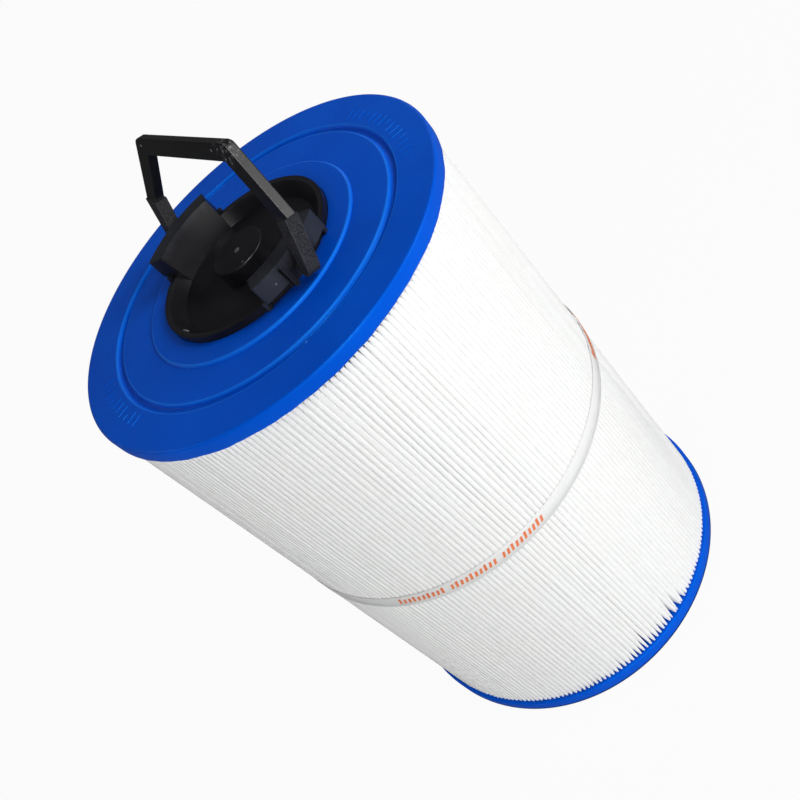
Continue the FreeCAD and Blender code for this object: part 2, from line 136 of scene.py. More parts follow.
def grid_faces(rows, columns, wrap_rows, wrap_columns, first=0):
    """Quads of a grid of points numbered row by row."""
    faces = []
    for row in range(rows if wrap_rows else rows - 1):
        low = first + row * columns
        high = first + ((row + 1) % rows) * columns
        for column in range(columns if wrap_columns else columns - 1):
            after = (column + 1) % columns
            faces.append((low + column, low + after, high + after, high + column))
    return faces


def arc_points(center, radius, start, end, count):
    """Points of an arc in radius and height, with angles in degrees."""
    angles = [math.radians(start + (end - start) * step / (count - 1)) for step in range(count)]
    return [(center[0] + radius * math.cos(angle), center[1] + radius * math.sin(angle))
            for angle in angles]


def around(radius, azimuth, height):
    """Place at a radius and azimuth round the cartridge's axis."""
    return Vector((radius * math.cos(azimuth), radius * math.sin(azimuth), height))


def smooth_noise(*place):
    """Smooth noise from -1 to 1 at a place."""
    spot = list(place) + [0.37] * (3 - len(place))
    return noise.noise(Vector(spot))


def round_noise(azimuth, scale, seed):
    """Smooth noise that closes on itself after a full turn."""
    return smooth_noise(scale * math.cos(azimuth), scale * math.sin(azimuth), seed)


def turned_mesh(name, profile, segments, height_shift=None):
    """Closed ring turned from a closed profile of (radius, height) points.

    height_shift gives each point's rise from its index in the profile and its azimuth.
    """
    points = []
    for segment in range(segments):
        azimuth = TAU * segment / segments
        for index, (radius, height) in enumerate(profile):
            rise = height_shift(index, azimuth) if height_shift else 0
            points.append(around(radius, azimuth, height + rise))
    faces = grid_faces(segments, len(profile), True, True)
    return mesh_object(name, points, [face[::-1] for face in faces])


def joined(name, blocks, smooth=False):
    """One object from several separate blocks of points and faces."""
    points, faces = [], []
    for block_points, block_faces in blocks:
        first = len(points)
        points += block_points
        faces += [tuple(first + corner for corner in face) for face in block_faces]
    return mesh_object(name, points, faces, smooth)


def ride(piece, body, slot, *replaced):
    """Tie a piece to its body, and hide the design's nodes that it stands for. The slot is not used."""
    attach(piece, body)
    if replaced:
        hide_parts(*replaced)


# ---------------------------------------------------------------- materials

class Shader:
    """A node material with short calls for the nodes used here."""

    def __init__(self, name):
        self.material = bpy.data.materials.new(name)
        self.material.use_nodes = True
        self.tree = self.material.node_tree
        self.surface = self.tree.nodes["Principled BSDF"]
        self.coordinates = self.tree.nodes.new("ShaderNodeTexCoord")

    def node(self, kind, **inputs):
        item = self.tree.nodes.new(kind)
        for key, value in inputs.items():
            self.feed(item, key.replace("_", " "), value)
        return item

    def feed(self, item, key, value):
        if isinstance(value, bpy.types.NodeSocket):
            self.tree.links.new(value, item.inputs[key])
        else:
            item.inputs[key].default_value = value

    def set(self, **inputs):
        for key, value in inputs.items():
            self.feed(self.surface, key.replace("_", " "), value)

    def noise(self, scale, detail=4.0, stretch=(1, 1, 1), roughness=0.5):
        mapping = self.node("ShaderNodeMapping", Vector=self.coordinates.outputs["Object"], Scale=stretch)
        texture = self.node("ShaderNodeTexNoise", Vector=mapping.outputs["Vector"], Scale=scale,
                            Detail=detail, Roughness=roughness)
        return texture.outputs["Fac"]

    def ramp(self, value, low, high, stops=(0.35, 0.65)):
        """Run from one number or colour to another as the value crosses the stops."""
        ramp = self.tree.nodes.new("ShaderNodeValToRGB")
        ramp.color_ramp.elements[0].position = stops[0]
        ramp.color_ramp.elements[1].position = stops[1]
        for element, level in zip(ramp.color_ramp.elements, (low, high)):
            element.color = (*level, 1) if isinstance(level, tuple) else (level, level, level, 1)
        self.tree.links.new(value, ramp.inputs["Fac"])
        return ramp.outputs["Color"]

    def mix(self, factor, first, second, blend="MIX"):
        item = self.tree.nodes.new("ShaderNodeMix")
        item.data_type = "RGBA"
        item.blend_type = blend
        for index, value in ((0, factor), (6, first), (7, second)):
            if isinstance(value, bpy.types.NodeSocket):
                self.tree.links.new(value, item.inputs[index])
            elif isinstance(value, tuple):
                item.inputs[index].default_value = (*value, 1)
            else:
                item.inputs[index].default_value = value
        return item.outputs[2]

    def bump(self, height, distance, strength=1.0, after=None):
        item = self.node("ShaderNodeBump", Height=height, Distance=distance, Strength=strength)
        if after is not None:
            self.tree.links.new(after, item.inputs["Normal"])
        return item.outputs["Normal"]

    def edges(self, low, high):
        """Brightness of convex edges, for light wear."""
        geometry = self.tree.nodes.new("ShaderNodeNewGeometry")
        return self.ramp(geometry.outputs["Pointiness"], 0.0, 1.0, (low, high))

    def distance(self, center, weight):
        """Distance from a place, counting only the axes with weight one."""
        offset = self.vector_math("SUBTRACT", self.coordinates.outputs["Object"], center)
        kept = self.vector_math("MULTIPLY", offset.outputs["Vector"], weight)
        return self.vector_math("LENGTH", kept.outputs["Vector"]).outputs["Value"]

    def vector_math(self, operation, first, second=None):
        item = self.tree.nodes.new("ShaderNodeVectorMath")
        item.operation = operation
        self.tree.links.new(first, item.inputs[0])
        if second is not None:
            item.inputs[1].default_value = second
        return item

    def number_math(self, operation, first, second=None):
        item = self.tree.nodes.new("ShaderNodeMath")
        item.operation = operation
        self.tree.links.new(first, item.inputs[0])
        if isinstance(second, bpy.types.NodeSocket):
            self.tree.links.new(second, item.inputs[1])
        elif second is not None:
            item.inputs[1].default_value = second
        return item.outputs["Value"]

    def within(self, value, reach, blur):
        """One where the value is below reach, zero above it."""
        fade = self.tree.nodes.new("ShaderNodeMapRange")
        self.tree.links.new(value, fade.inputs["Value"])
        fade.inputs["From Min"].default_value = reach + blur / 2
        fade.inputs["From Max"].default_value = reach - blur / 2
        return fade.outputs["Result"]

    def ring(self, radius, half_width):
        """One on a circle round the Z axis, fading out on both sides."""
        place = self.distance((0, 0, 0), (1, 1, 0))
        away = self.number_math("ABSOLUTE", self.number_math("SUBTRACT", place, radius))
        return self.within(away, half_width, half_width)


def cast_blue(name, highlight_radii=(), shade_below=None):
    """Cast polyurethane: deep blue, semi-gloss, with faint flow clouding and orange peel.

    The edge radii given are circles on which a moulded edge is painted lighter, a painted highlight. The
    level given is the height under which the rim's lower edge is painted darker, a painted shade.
    """
    shader = Shader(name)
    clouds = shader.noise(14, 3)
    surface_tone = shader.ramp(clouds, (0.0, 0.080, 0.610), (0.0, 0.100, 0.700))
    # Painted highlight: each edge radius gets a band of lighter blue, standing in for light caught on the
    # rounded edge.
    for radius in highlight_radii:
        painted_edge_highlight = shader.mix(0.5, surface_tone, (0.012, 0.230, 0.950))
        surface_tone = shader.mix(shader.ring(radius, 0.6 * MM), surface_tone, painted_edge_highlight)
    # Painted shade: below the level, the rim's lower round is painted dark navy.
    if shade_below is not None:
        low = shader.within(shader.distance((0, 0, 0), (0, 0, 1)), shade_below, 0.8 * MM)
        painted_rim_shade = shader.number_math("MULTIPLY", low, shader.ring(CAP_RADIUS, 1.5 * MM))
        surface_tone = shader.mix(painted_rim_shade, surface_tone, (0.0, 0.020, 0.150))
    grain = shader.noise(900, 2)
    peel = shader.bump(shader.noise(160, 3), 0.12 * MM, 0.4)
    shader.set(Base_Color=surface_tone, Roughness=shader.ramp(grain, 0.32, 0.44),
               Normal=shader.bump(grain, 0.04 * MM, 0.4, peel), IOR=1.5,
               Specular_IOR_Level=0.28, Specular_Tint=(0.04, 0.45, 1.0, 1))
    return shader.material


def base_plastic():
    """Hard black moulding, glossy in places where the tool was polished."""
    shader = Shader("base_plastic")
    clouds = shader.noise(60, 4)
    base = shader.ramp(clouds, (0.0065, 0.0062, 0.0080), (0.0100, 0.0095, 0.0120))
    surface_tone = shader.mix(shader.edges(0.54, 0.64), base, (0.030, 0.032, 0.040))
    grain = shader.noise(2200, 2)
    shader.set(Base_Color=surface_tone, Roughness=shader.ramp(clouds, 0.30, 0.42),
               Normal=shader.bump(grain, 0.05 * MM, 0.5), IOR=1.5, Specular_IOR_Level=0.19)
    return shader.material


def handle_plastic():
    """Black moulded handle, smooth above the elbows and spark-finished grey below them."""
    shader = Shader("handle_plastic")
    clouds = shader.noise(60, 4)
    grained = shader.within(shader.distance(PIVOT, (0, 1, 1)), GRAINED_REACH, 1.5 * MM)
    smooth = shader.ramp(clouds, (0.0060, 0.0055, 0.0058), (0.0090, 0.0085, 0.0088))
    speckle = shader.noise(1500, 3)
    grey = shader.ramp(speckle, (0.009, 0.009, 0.010), (0.040, 0.039, 0.041), (0.4, 0.66))
    # Paler spots near the handle's top corner.
    top_corner = handle_spot(41 * MM, 57 * MM, 0)
    corner = shader.within(shader.distance(top_corner, (1, 1, 1)), 6 * MM, 7 * MM)
    pale_spots = shader.ramp(shader.noise(520, 5), 0.0, 1.0, (0.52, 0.66))
    spotted = shader.mix(shader.number_math("MULTIPLY", corner, pale_spots), smooth, (0.16, 0.16, 0.165))
    base = shader.mix(grained, spotted, grey)
    surface_tone = shader.mix(shader.edges(0.54, 0.66), base, (0.045, 0.045, 0.047))
    rough = shader.mix(grained, shader.ramp(clouds, 0.34, 0.44), (0.62, 0.62, 0.62))
    shader.set(Base_Color=surface_tone, Roughness=rough, Normal=shader.bump(speckle, 0.08 * MM, 0.6),
               IOR=1.5, Specular_IOR_Level=0.26)
    return shader.material


def pale_mark(name, dark, light):
    """Scuffed plastic at a gate scar or ejector mark."""
    shader = Shader(name)
    scuff = shader.noise(1800, 3)
    shader.set(Base_Color=shader.ramp(scuff, dark, light),
               Roughness=0.55, Normal=shader.bump(scuff, 0.06 * MM, 0.5))
    return shader.material


def filter_cloth():
    """Spun-bonded polyester: white, matt, with fibre mottling along the pleats."""
    shader = Shader("filter_cloth")
    fibres = shader.noise(900, 5, (1, 1, 0.35), 0.65)
    drift = shader.noise(25, 3)
    tone = shader.ramp(fibres, (0.830, 0.835, 0.830), (0.900, 0.902, 0.898), (0.3, 0.7))
    base = shader.mix(shader.ramp(drift, 0.0, 0.4), tone, (0.87, 0.87, 0.845))
    shader.set(Base_Color=base, Roughness=0.9, Normal=shader.bump(fibres, 0.1 * MM, 0.4),
               Specular_IOR_Level=0.1)
    return shader.material


def strap_film():
    """Thin translucent film with faint stretch lines."""
    shader = Shader("strap_film")
    lines = shader.noise(120, 3, (1, 1, 9))
    base = shader.ramp(lines, (0.88, 0.885, 0.88), (0.93, 0.93, 0.925))
    shader.set(Base_Color=base, Roughness=shader.ramp(lines, 0.30, 0.45), Alpha=0.85,
               Normal=shader.bump(lines, 0.05 * MM, 0.4), Specular_IOR_Level=0.3)
    return shader.material


def orange_ink():
    """Printed ink, slightly broken up where the strap crosses the pleats."""
    shader = Shader("orange_ink")
    blotch = shader.noise(900, 3)
    shader.set(Base_Color=shader.ramp(blotch, (0.80, 0.16, 0.045), (0.93, 0.27, 0.09)), Roughness=0.5)
    return shader.material


def core_plastic():
    """Off-white moulded tube with faint flow lines."""
    shader = Shader("core_plastic")
    flow = shader.noise(70, 4, (1, 1, 0.2))
    shader.set(Base_Color=shader.ramp(flow, (0.74, 0.74, 0.71), (0.82, 0.82, 0.79)),
               Roughness=shader.ramp(flow, 0.38, 0.5), Normal=shader.bump(flow, 0.1 * MM, 0.3))
    return shader.material


def clip_plastic():
    """Pale clip, a little greyer than the cloth, with faint lines drawn along it."""
    shader = Shader("clip_plastic")
    drawn = shader.noise(400, 3, (1, 1, 0.02))
    shader.set(Base_Color=shader.ramp(drawn, (0.70, 0.72, 0.73), (0.80, 0.81, 0.81)),
               Roughness=shader.ramp(drawn, 0.4, 0.55), Normal=shader.bump(drawn, 0.1 * MM, 0.3))
    return shader.material


# ---------------------------------------------------------------- pleats

def growing_steps(reach, count):
    """Distances from zero to reach that start close together."""
    return [reach * (step / count) ** 2 for step in range(count + 1)]


def media_heights():
    """Levels of the pleat mesh, close together where the folds open out at the caps."""
    near_bottom = [RESIN_LEVEL + rise for rise in growing_steps(24 * MM, 8)]
    near_top = [CAP_UNDERSIDE - drop for drop in reversed(growing_steps(14 * MM, 4))]
    spans = 9
    plain = near_top[0] - near_bottom[-1]
    between = [near_bottom[-1] + plain * step / spans for step in range(1, spans)]
    return [MEDIA_BOTTOM] + near_bottom + between + near_top + [MEDIA_TOP]


def bulge(value, center, width):
    """One at the center, falling smoothly to nothing a few widths away."""
    return math.exp(-((value - center) / width) ** 2)


def signed_degrees(azimuth):
    """An azimuth in degrees from -180 to 180."""
    return math.degrees(azimuth + math.pi) % 360 - 180


def gap_degrees(number):
    """Azimuth of the gap after a pleat, in signed degrees."""
    return signed_degrees(SEAM_AZIMUTH + (number + 0.5) * PITCH)


def pairing(number):
    """Above zero where a gap stays wide because the pleats on each side of it cling in pairs."""
    side = 1 if number % 2 else -1
    return side * bulge(gap_degrees(number), -1.5, 5.5)


def opening_length(number):
    """How far above the bottom cap the gap after a pleat stays open."""
    azimuth = gap_degrees(number)
    open_side = 9 * bulge(azimuth, -24, 20)
    longest = 19 * bulge(azimuth, -1.5, 4.5) + 12 * bulge(azimuth, -17, 1.2)
    ragged = (3 + open_side) * smooth_noise(number * 0.83, 11.3)
    length = 2.4 + open_side + longest + ragged
    return max(1.8, length * (1 + 0.9 * min(0.0, pairing(number)))) * MM


def gap_width(number, height):
    """Gap between two tips: open where the ends are potted, all but shut between."""
    paired = 0.85 * pairing(number) if height < MEDIA_TOP / 2 else 0
    potted = (TIP_PITCH - 2 * NARROW_HALF) * (1 + paired)
    resting = (0.05 + 0.14 * smooth_noise(number * 0.71, height * 9, 4.4)) * MM
    bottom = max(0.0, 1 - (height - RESIN_LEVEL) / opening_length(number))
    top = max(0.0, 1 - (CAP_UNDERSIDE - height) / (4 * MM))
    share = min(1.0, max(bottom, top)) ** 1.15
    return max(resting, 0.02 * MM) * (1 - share) + potted * share


def gap_drift(number, height):
    """Sideways wander of the line where two pleats meet."""
    calm = min(1.0, min(number % PLEATS, PLEATS - 1 - number % PLEATS) / 4)
    along = (height - RESIN_LEVEL) / (CAP_UNDERSIDE - RESIN_LEVEL)
    hold = 0.35 + 0.65 * math.sin(math.pi * min(1.0, max(0.0, along)))
    slow = 0.85 * smooth_noise(number * 0.17, height * 7, 3.1)
    pair = 0.42 * smooth_noise(number * 0.55, height * 4, 7.7)
    loose = 0.24 * smooth_noise(number * 1.7, height * 12, 5.9)
    return calm * hold * (slow + pair + loose) * MM


def crease_depth(number, height):
    """Depth below the tips at which two pleats touch, less where the folds are pressed flat."""
    pressed = 1 - 0.5 * bulge(gap_degrees(number), 30, 34)
    return pressed * (0.65 + 0.45 * smooth_noise(number * 0.63, height * 8, 9.1)) * MM


def pleat_section(number, height):
    """One pleat of the outer face of the sheet, as (sideways, radius) points."""
    left = -TIP_PITCH / 2 + gap_drift(number - 1, height) + gap_width(number - 1, height) / 2
    right = TIP_PITCH / 2 + gap_drift(number, height) - gap_width(number, height) / 2
    middle = (left + right) / 2
    half = (right - left) / 2
    reach = PLEAT_TIP - (0.08 - 0.16 * smooth_noise(number * 0.9, height * 6, 2.2)) * MM
    flank = 0.62 * MM
    left_touch = PLEAT_TIP - crease_depth(number - 1, height)
    right_touch = PLEAT_TIP - crease_depth(number, height)
    shoulder = 0.17 * MM
    return [
        (-INNER_HALF, FOOT_BASE),
        (middle * 0.5 - flank, BELLY_RADIUS),
        (left, left_touch),
        (middle - half * 0.70, reach - shoulder),
        (middle, reach),
        (middle + half * 0.70, reach - shoulder),
        (right, right_touch),
        (middle * 0.5 + flank, BELLY_RADIUS),
        (INNER_HALF, FOOT_BASE),
    ]


def inner_section(number, height):
    """The same pleat on the inner face of the sheet, which stays clear of the outer face."""
    middle = (gap_drift(number - 1, height) + gap_drift(number, height)) / 2
    half = 0.10 * MM
    foot_half = 0.15 * MM
    tip = PLEAT_TIP - 2 * SHEET
    return [
        (-foot_half, FOOT_BASE),
        (middle * 0.5 - half, BELLY_RADIUS),
        (middle - half, tip),
        (middle + half, tip),
        (middle * 0.5 + half, BELLY_RADIUS),
        (foot_half, FOOT_BASE),
    ]


def media_surface(section, valley_radius, heights):
    """Points of one face of the sheet, row by row, with the pleats one after another.

    The first pleat is the seam, which stands a little lower than the rest.
    """
    points = []
    for height in heights:
        for number in range(PLEATS):
            azimuth = SEAM_AZIMUTH + number * PITCH
            across = Vector((-math.sin(azimuth), math.cos(azimuth), 0))
            outward = Vector((math.cos(azimuth), math.sin(azimuth), 0))
            shorter = SEAM_SHORTFALL if number == 0 else 0
            for side, radius in section(number, height):
                place = outward * (radius - shorter) + across * side
                points.append((place.x, place.y, height))
            points.append(around(valley_radius, azimuth + PITCH / 2, height))
    return points


def rim_strip(outer, inner, outer_first, inner_first, flip):
    """Faces that close the sheet's edge, pleat by pleat, between its two faces."""
    faces = []
    outer_total = outer * PLEATS
    inner_total = inner * PLEATS
    for number in range(PLEATS):
        top = [outer_first + (number * outer + step) % outer_total for step in range(outer + 1)]
        low = [inner_first + (number * inner + step) % inner_total for step in range(inner + 1)]
        for step in range(outer):
            near = round(step * inner / outer)
            far = round((step + 1) * inner / outer)
            face = [top[step], top[step + 1], low[far]]
            if near != far:
                face.append(low[near])
            faces.append(tuple(face[::-1] if flip else face))
    return faces


def make_media():
    """The pleated sheet: an outer face in full detail and a sparser inner face, joined at both ends."""
    heights = media_heights()
    sparse = heights[:1] + heights[5:-3:4] + heights[-1:]
    outside = media_surface(pleat_section, PLEAT_FOOT + SHEET, heights)
    inside = media_surface(inner_section, PLEAT_FOOT, sparse)
    outer = len(outside) // (PLEATS * len(heights))
    inner = len(inside) // (PLEATS * len(sparse))
    count = len(outside)
    faces = grid_faces(len(heights), outer * PLEATS, False, True)
    faces += [face[::-1] for face in grid_faces(len(sparse), inner * PLEATS, False, True, count)]
    faces += rim_strip(outer, inner, 0, count, True)
    faces += rim_strip(outer, inner, (len(heights) - 1) * outer * PLEATS,
                       count + (len(sparse) - 1) * inner * PLEATS, False)
    piece = mesh_object("pleated_cloth", outside + inside, faces)
    piece.data.materials.append(filter_cloth())
    ride(piece, BODY, "media", "pleated_media")


# ---------------------------------------------------------------- end caps

def top_cap_profile():
    """Closed section of the top cap, from the handle opening over the face and back underneath."""
    face = CAP_FACE
    terrace = TERRACE_RADIUS
    under = CAP_UNDERSIDE
    wall_edge = face - 0.7 * MM
    groove_foot = face - GROOVE_DEPTH + 1 * MM
    section = [(HANDLE_OPENING, face - PLATE_STEP), (HANDLE_OPENING, face + 1 * MM)]
    section += arc_points((HANDLE_OPENING + 0.35 * MM, face + 1 * MM), 0.35 * MM, 150, 90, 3)
    section += [(HANDLE_OPENING + 3 * MM, face + TERRACE_RISE)]
    section += [(terrace - 3 * MM, face + TERRACE_RISE), (terrace - 1.5 * MM, face + TERRACE_RISE)]
    section += arc_points((terrace - 1.1 * MM, face + 0.25 * MM), 1.1 * MM, 90, 5, 7)
    section += arc_points((terrace + 0.3 * MM, face + 0.3 * MM), 0.3 * MM, 190, 270, 4)
    section += [(terrace + 0.6 * MM, face), (terrace + 4 * MM, face)]
    section += [(GROOVE_INNER - 4 * MM, face), (GROOVE_INNER - 1.1 * MM, face)]
    section += arc_points((GROOVE_INNER - 0.7 * MM, wall_edge), 0.7 * MM, 90, 10, 4)
    section += arc_points((GROOVE_INNER + 1.3 * MM, groove_foot), 1 * MM, 190, 270, 4)
    section += arc_points((GROOVE_OUTER - 1.3 * MM, groove_foot), 1 * MM, 270, 350, 4)
    section += arc_points((GROOVE_OUTER + 0.7 * MM, wall_edge), 0.7 * MM, 170, 90, 4)
    section += [(GROOVE_OUTER + 1.1 * MM, face), (GROOVE_OUTER + 4 * MM, face)]
    section += [(CAP_RADIUS - 5 * MM, face), (CAP_RADIUS - 2 * MM, face)]
    section += arc_points((CAP_RADIUS - 1.5 * MM, face - 1.5 * MM), 1.5 * MM, 90, 0, 7)
    section += [(CAP_RADIUS, face - 4 * MM)]
    section += arc_points((CAP_RADIUS - 0.8 * MM, under + 0.8 * MM), 0.8 * MM, 0, -90, 4)
    section += [(PLEAT_TIP - 0.6 * MM, under + 0.3 * MM), (PLEAT_TIP - 8 * MM, under + 0.5 * MM)]
    section += [(CORE_EDGE + 1 * MM, under + 0.5 * MM), (CORE_EDGE, face - PLATE_STEP)]
    return section


def make_top_cap():
    """The top casting, with the wavy lower edge that the resin leaves on the pleats."""
    profile = top_cap_profile()
    highest_wavy = min(height for _, height in profile) + 1.6 * MM

    def shift(index, azimuth):
        radius, height = profile[index]
        if height > highest_wavy or radius < WAVY_RADIUS:
            return 0
        wave = 0.45 * round_noise(azimuth, 9, 2.2) + 0.22 * round_noise(azimuth, 30, 4.4)
        return wave * MM

    piece = turned_mesh("top_cap_casting", profile, CAP_SEGMENTS, shift)
    # Moulded edges of the top cap that get a painted highlight in the casting's colour.
    edges = (TERRACE_RADIUS - 0.5 * MM, GROOVE_INNER - 0.3 * MM, GROOVE_OUTER + 0.3 * MM)
    piece.data.materials.append(cast_blue("cast_blue_top", edges))
    ride(piece, BODY, "cap_casting", "top_end_cap")


def bottom_cap_profile():
    """Closed section of the bottom cap, with the cast resin level between the pleats."""
    collar_top = BOTTOM_CAP[1].z
    level = RESIN_LEVEL
    section = arc_points((OUTLET_RADIUS + 0.6 * MM, 0.6 * MM), 0.6 * MM, 180, 270, 3)
    section += [(CAP_RADIUS - 6 * MM, 0)]
    section += arc_points((CAP_RADIUS - 1.4 * MM, 1.4 * MM), 1.4 * MM, -90, 0, 5)
    section += [(CAP_RADIUS, BOTTOM_PLATE)]
    section += arc_points((CAP_RADIUS - 0.7 * MM, 8.3 * MM), 0.7 * MM, 0, 90, 4)
    section += [(PLEAT_TIP + 0.5 * MM, 8.9 * MM), (PLEAT_TIP - 1.5 * MM, level + 0.3 * MM)]
    section += [(PLEAT_TIP - 7 * MM, level), (80 * MM, level), (CORE_EDGE + 1 * MM, level)]
    section += [(CORE_EDGE, BOTTOM_PLATE), (OUTLET_COLLAR + 1 * MM, BOTTOM_PLATE)]
    section += [(OUTLET_COLLAR, BOTTOM_PLATE + 1 * MM)]
    section += arc_points((OUTLET_COLLAR - 0.8 * MM, collar_top - 0.8 * MM), 0.8 * MM, 0, 90, 4)
    section += arc_points((OUTLET_RADIUS + 0.8 * MM, collar_top - 0.8 * MM), 0.8 * MM, 90, 180, 4)
    return section


def make_bottom_cap():
    """The bottom casting, whose resin stands unevenly where it meets the pleats."""
    profile = bottom_cap_profile()

    def shift(index, azimuth):
        radius, height = profile[index]
        if radius < WAVY_RADIUS or height < 7 * MM:
            return 0
        wave = 0.5 * round_noise(azimuth, 11, 6.2) + 0.25 * round_noise(azimuth, 50, 8.4)
        return wave * MM

    piece = turned_mesh("bottom_cap_casting", profile, CAP_SEGMENTS, shift)
    # The rim's lower round is painted darker below 2.3 mm, a painted shade.
    piece.data.materials.append(cast_blue("cast_blue_bottom", shade_below=2.3 * MM))
    ride(piece, BODY, "cap_casting", "bottom_end_cap")


def raised_bar(middle_azimuth, inner, outer, half_width, floor, rise):
    """A plain radial bar with drafted sides, standing on a flat face."""
    across = Vector((-math.sin(middle_azimuth), math.cos(middle_azimuth), 0))
    levels = ((floor - 0.2 * MM, 0), (floor, 0))
    levels += ((floor + rise * 0.7, 0.15 * MM), (floor + rise, 0.40 * MM))
    points = []
    for level, draft in levels:
        half = half_width - draft
        near = around(inner + draft, middle_azimuth, level)
        far = around(outer - draft, middle_azimuth, level)
        points += [near - across * half, far - across * half, far + across * half, near + across * half]
    faces = grid_faces(4, 4, False, True)
    faces += [(3, 2, 1, 0), (12, 13, 14, 15)]
    return points, faces


def make_cap_bars():
    """Two arcs of plain raised bars on the outer band of the top cap, each fourth one short."""
    inner = 90.2 * MM
    outer = 96.8 * MM
    half_width = 0.65 * MM
    rise = 0.22 * MM
    degrees_apart = 3
    blocks = []
    for start, end in ((48, 93.5), (-118, -87)):
        count = round((end - start) / degrees_apart)
        for number in range(count):
            azimuth = math.radians(start + (end - start) * (number + 0.5) / count)
            inset = 3.2 * MM if number % 4 == 3 else 0
            blocks.append(raised_bar(azimuth, inner + inset, outer, half_width, CAP_FACE, rise))
    piece = joined("cap_raised_bars", blocks)
    piece.data.materials.append(cast_blue("cast_blue_bars"))
    ride(piece, BODY, "cap_casting")


# ---------------------------------------------------------------- strap

def strap_radius(azimuth):
    """Inner radius of the strap, which spans from tip to tip and stands proud near azimuth 67."""
    ripple = 0.04 * math.cos((azimuth - SEAM_AZIMUTH) * PLEATS)
    slack = 0.06 + 0.16 * max(0.0, round_noise(azimuth, 1.6, 3.3))
    lifted = 0.7 * bulge(signed_degrees(azimuth), 67, 9)
    return PLEAT_TIP + (slack + lifted + ripple) * MM


def strap_drift(azimuth):
    """Rise of the strap above its mean level on its way round."""
    return 0.5 * MM * round_noise(azimuth, 1.1, 8.8)


def make_strap():
    """The strap: a closed ring of film, thickest along its middle."""
    half = STRAP_WIDTH / 2
    shoulder = half * 0.98
    section = [(0, -half), (STRAP_FILM, -shoulder), (STRAP_CROWN, 0), (STRAP_FILM, shoulder)]
    section += [(0, half), (0.01 * MM, 0)]
    segments = PLEATS * 4
    points = []
    for segment in range(segments):
        azimuth = TAU * segment / segments
        inner = strap_radius(azimuth)
        middle = STRAP_MIDDLE + strap_drift(azimuth)
        points += [around(inner + lift, azimuth, middle + height) for lift, height in section]
    faces = [face[::-1] for face in grid_faces(segments, len(section), True, True)]
    piece = mesh_object("strap_band", points, faces)
    piece.data.materials.append(strap_film())
    ride(piece, BODY, "strap_film", "retaining_band")


def printed_bar(start, width, slant, low, high):
    """A thin slanted bar that follows the face of the strap."""
    columns = 4
    rows = 3
    points = []
    for lift in (INK_FROM, INK_TO):
        for row in range(rows):
            share = row / (rows - 1)
            for column in range(columns):
                azimuth = start + width * column / (columns - 1) + slant * share
                radius = strap_radius(azimuth) + STRAP_CROWN + lift
                height = low + (high - low) * share + strap_drift(azimuth)
                points.append(around(radius, azimuth, height))
    count = rows * columns
    faces = grid_faces(rows, columns, False, False, count)
    faces += [face[::-1] for face in grid_faces(rows, columns, False, False)]
    bottom_edge = list(range(columns))
    right_edge = [row * columns + columns - 1 for row in range(1, rows)]
    top_edge = list(range(count - 2, count - columns - 1, -1))
    left_edge = [row * columns for row in range(rows - 2, 0, -1)]
    edge = bottom_edge + right_edge + top_edge + left_edge
    for here, after in zip(edge, edge[1:] + edge[:1]):
        faces.append((here, after, count + after, count + here))
    return points, faces


def make_strap_print():
    """Three groups of plain slanted bars round the strap, in two heights, each of three runs of ten."""
    first = math.radians(-61.6)
    repeat = math.radians(104.5)
    low = STRAP_MIDDLE - 2 * MM
    blocks = []
    for group in range(3):
        for number in range(33):
            if number % 11 == 10:
                continue
            start = first + group * repeat + number * PITCH
            high = STRAP_MIDDLE + (2.9 * MM if number % 3 == 0 else 2 * MM)
            blocks.append(printed_bar(start, PITCH * 0.5, PITCH * 0.45, low, high))
    piece = joined("strap_print", blocks)
    piece.data.materials.append(orange_ink())
    ride(piece, BODY, "strap_film")


# ---------------------------------------------------------------- small marks

def low_dome(center, normal, radius, rise):
    """Shallow round pip standing on a face."""
    normal = Vector(normal).normalized()
    side = normal.orthogonal().normalized()
    other = normal.cross(side)
    segments = 20
    rings = ((1.0, -0.3), (1.0, 0.25), (0.8, 0.75), (0.4, 1.0))
    points = []
    for share, level in rings:
        for segment in range(segments):
            turn = TAU * segment / segments
            spoke = side * math.cos(turn) + other * math.sin(turn)
            points.append(Vector(center) + spoke * radius * share + normal * rise * level)
    faces = grid_faces(len(rings), segments, False, True)
    last = (len(rings) - 1) * segments
    faces.append(tuple(range(segments - 1, -1, -1)))
    faces.append(tuple(range(last, last + segments)))
    return points, faces


def handle_spot(across, up, out):
    """Place on the leaning handle: along the pivot axis, up the handle and out of its front face."""
    upward = Vector((0, math.sin(HANDLE_LEAN), math.cos(HANDLE_LEAN)))
    front = Vector((0, -math.cos(HANDLE_LEAN), math.sin(HANDLE_LEAN)))
    return PIVOT + Vector((across, 0, 0)) + upward * up + front * out


def make_handle_marks():
    """Gate scars on the handle's front face near its top corners."""
    front = handle_spot(0, 0, 1) - handle_spot(0, 0, 0)
    scars = ((-38.6, 56.4, 0.7), (29.5, 56.4, 0.7), (35.5, 57.2, 0.5), (38.5, 52.4, 0.6), (42.4, 50.8, 0.4))
    blocks = []
    for across, up, radius in scars:
        place = handle_spot(across * MM, up * MM, HANDLE_DEPTH / 2)
        blocks.append(low_dome(place, front, radius * MM, 0.10 * MM))
    piece = joined("handle_gate_marks", blocks)
    piece.data.materials.append(pale_mark("gate_scar", (0.10, 0.10, 0.11), (0.24, 0.24, 0.25)))
    ride(piece, "handle", "handle_plastic")


